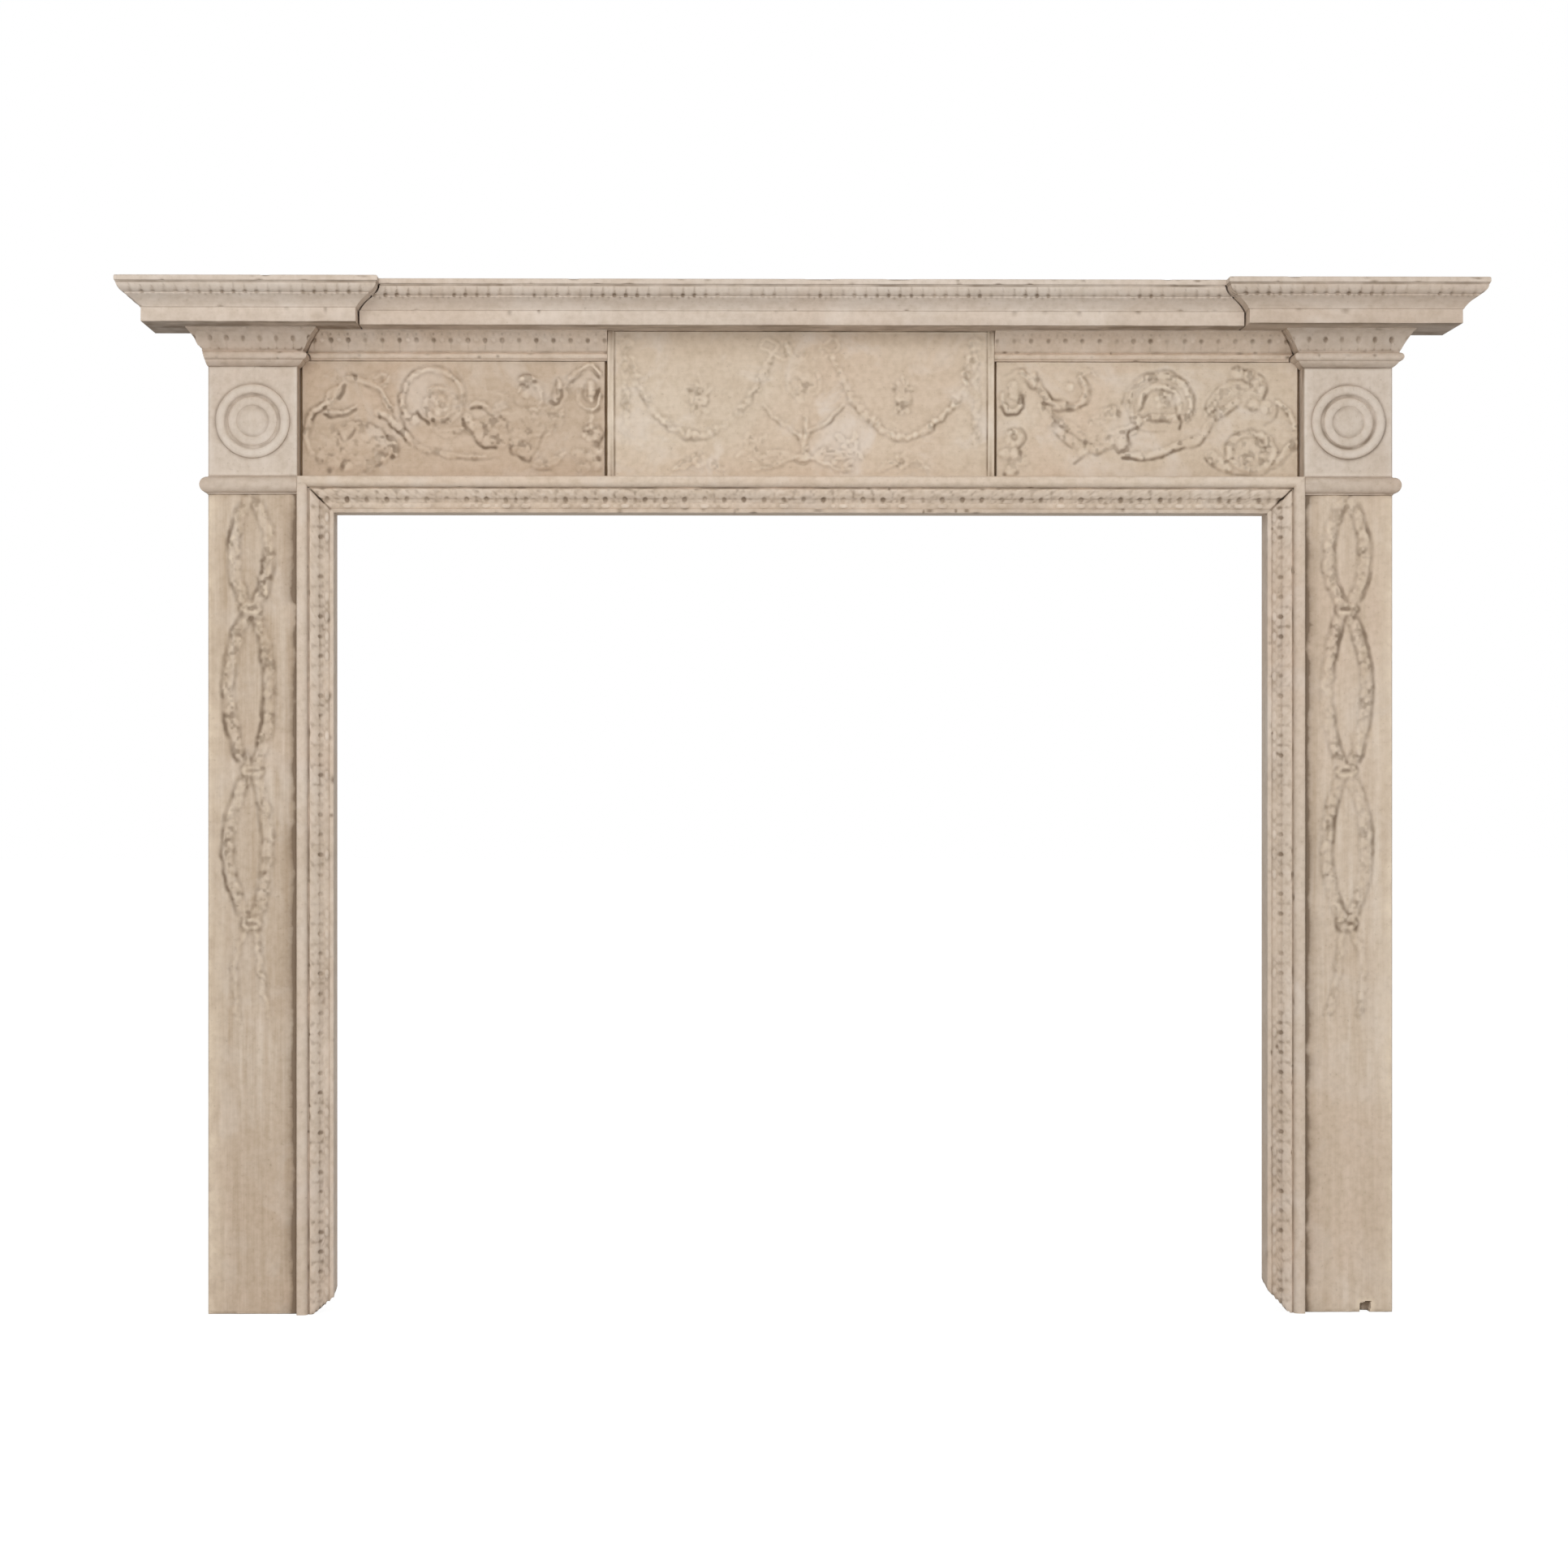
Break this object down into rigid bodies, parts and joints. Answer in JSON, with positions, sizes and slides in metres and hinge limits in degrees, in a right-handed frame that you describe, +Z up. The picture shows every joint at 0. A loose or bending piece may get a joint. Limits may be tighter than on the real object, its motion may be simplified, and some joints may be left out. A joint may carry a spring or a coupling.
{
  "type": "fireplace mantel",
  "caption": "Carved pine fireplace mantel with garlanded pilasters, a moulded surround, a scrolled frieze with a raised tablet and a breakfront cornice shelf.",
  "frame": {"origin": "floor level, at the middle of the whole mantel's width and depth", "axes": "+Z up, +X to the right as seen from the room, -Y towards the room and +Y towards the wall"},
  "size_m": [1.794, 0.166, 1.366],
  "materials": {
    "pine_light": "stripped and limed pine, pale, dull and dry",
    "pine": "stripped and limed pine, dull and dry, with traces of old ground in the carving",
    "pine_tan": "stripped pine, tan, dull and dry"
  },
  "bodies": {
    "root": {"shelf_board": "pine_light", "cornice_centre": "pine_light", "cornice_left": "pine_light", "cornice_right": "pine_light", "capital_left": "pine", "capital_right": "pine", "bed_moulding_left": "pine_tan", "bed_moulding_right": "pine_tan", "frieze_backing_board": "pine_tan", "frieze_panel_left": "pine_tan", "frieze_panel_right": "pine_tan", "centre_tablet": "pine_tan", "block_left": "pine", "block_right": "pine", "roundel_left": "pine", "roundel_right": "pine", "neck_moulding_left": "pine", "neck_moulding_right": "pine", "pilaster_left": "pine", "pilaster_right": "pine", "surround_left": "pine", "surround_right": "pine", "surround_top": "pine"}
  },
  "joints": []
}
